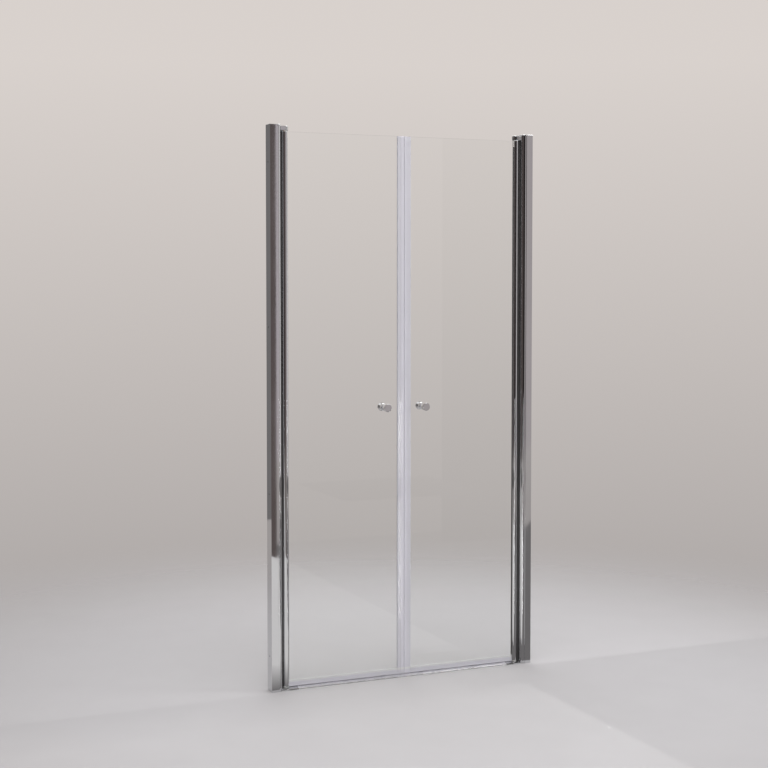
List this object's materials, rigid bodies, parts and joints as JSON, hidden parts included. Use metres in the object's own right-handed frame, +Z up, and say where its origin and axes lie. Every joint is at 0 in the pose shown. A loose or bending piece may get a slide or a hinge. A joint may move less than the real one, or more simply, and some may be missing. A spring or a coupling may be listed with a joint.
{
  "type": "shower door",
  "caption": "Swing door for a shower alcove: paired frameless glass leaves that turn on pivots in slim chrome wall profiles, with a low threshold, clear seals and round knobs.",
  "frame": {"origin": "on the tray surface, midway between the two walls, in the plane of the glass", "axes": "+X along the doorway from the left wall to the right wall seen from the room, +Y into the shower, +Z up"},
  "size_m": [0.988, 0.064, 1.9],
  "materials": {
    "bright_profile": "bright anodised aluminium, polished",
    "bright_cap": "chromed plastic",
    "cast_pivot": "chromed zinc casting",
    "threshold_alu": "bright anodised",
    "knob_chrome": "polished chrome",
    "steel": "stainless, plain",
    "clear_glass": "clear toughened glass",
    "clear_seal": "translucent extruded vinyl",
    "magnet": "plastic-bonded magnet strip, light grey",
    "black_rubber": "soft black rubber",
    "grey_rubber": "dark grey rubber",
    "nylon": "natural nylon",
    "tape": "foam mounting tape"
  },
  "bodies": {
    "frame": {"left_wall_channel": "bright_profile", "left_jamb": "bright_profile", "left_jamb_gasket": "black_rubber", "left_top_cap": "bright_cap", "left_top_pivot": "cast_pivot", "left_top_pin": "steel", "left_bottom_pivot": "cast_pivot", "left_bottom_pin": "steel", "left_pivot_screws": "steel", "left_clamp_screws": "steel", "left_screw_covers": "bright_cap", "right_wall_channel": "bright_profile", "right_jamb": "bright_profile", "right_jamb_gasket": "black_rubber", "right_top_cap": "bright_cap", "right_top_pivot": "cast_pivot", "right_top_pin": "steel", "right_bottom_pivot": "cast_pivot", "right_bottom_pin": "steel", "right_pivot_screws": "steel", "right_clamp_screws": "steel", "right_screw_covers": "bright_cap", "threshold_bar": "threshold_alu", "threshold_tape": "tape"},
    "left_leaf": {"left_post": "bright_profile", "left_top_bush": "nylon", "left_bottom_bush": "nylon", "left_glass": "clear_glass", "left_glazing_gasket": "grey_rubber", "left_edge_seal": "clear_seal", "left_magnet_strip": "magnet", "left_bottom_seal": "clear_seal", "left_outer_knob": "knob_chrome", "left_inner_knob": "knob_chrome", "left_knob_stud": "steel", "left_knob_washers": "clear_seal"},
    "right_leaf": {"right_post": "bright_profile", "right_top_bush": "nylon", "right_bottom_bush": "nylon", "right_glass": "clear_glass", "right_glazing_gasket": "grey_rubber", "right_edge_seal": "clear_seal", "right_magnet_strip": "magnet", "right_bottom_seal": "clear_seal", "right_outer_knob": "knob_chrome", "right_inner_knob": "knob_chrome", "right_knob_stud": "steel", "right_knob_washers": "clear_seal"}
  },
  "joints": [
    {"name": "left_leaf_swing", "type": "hinge", "parent": "frame", "child": "left_leaf", "pos_m": [-0.436, 0, 0.95], "axis": [0, 0, 1], "range_deg": [-90, 90]},
    {"name": "right_leaf_swing", "type": "hinge", "parent": "frame", "child": "right_leaf", "pos_m": [0.436, 0, 0.95], "axis": [0, 0, -1], "range_deg": [-90, 90]}
  ]
}
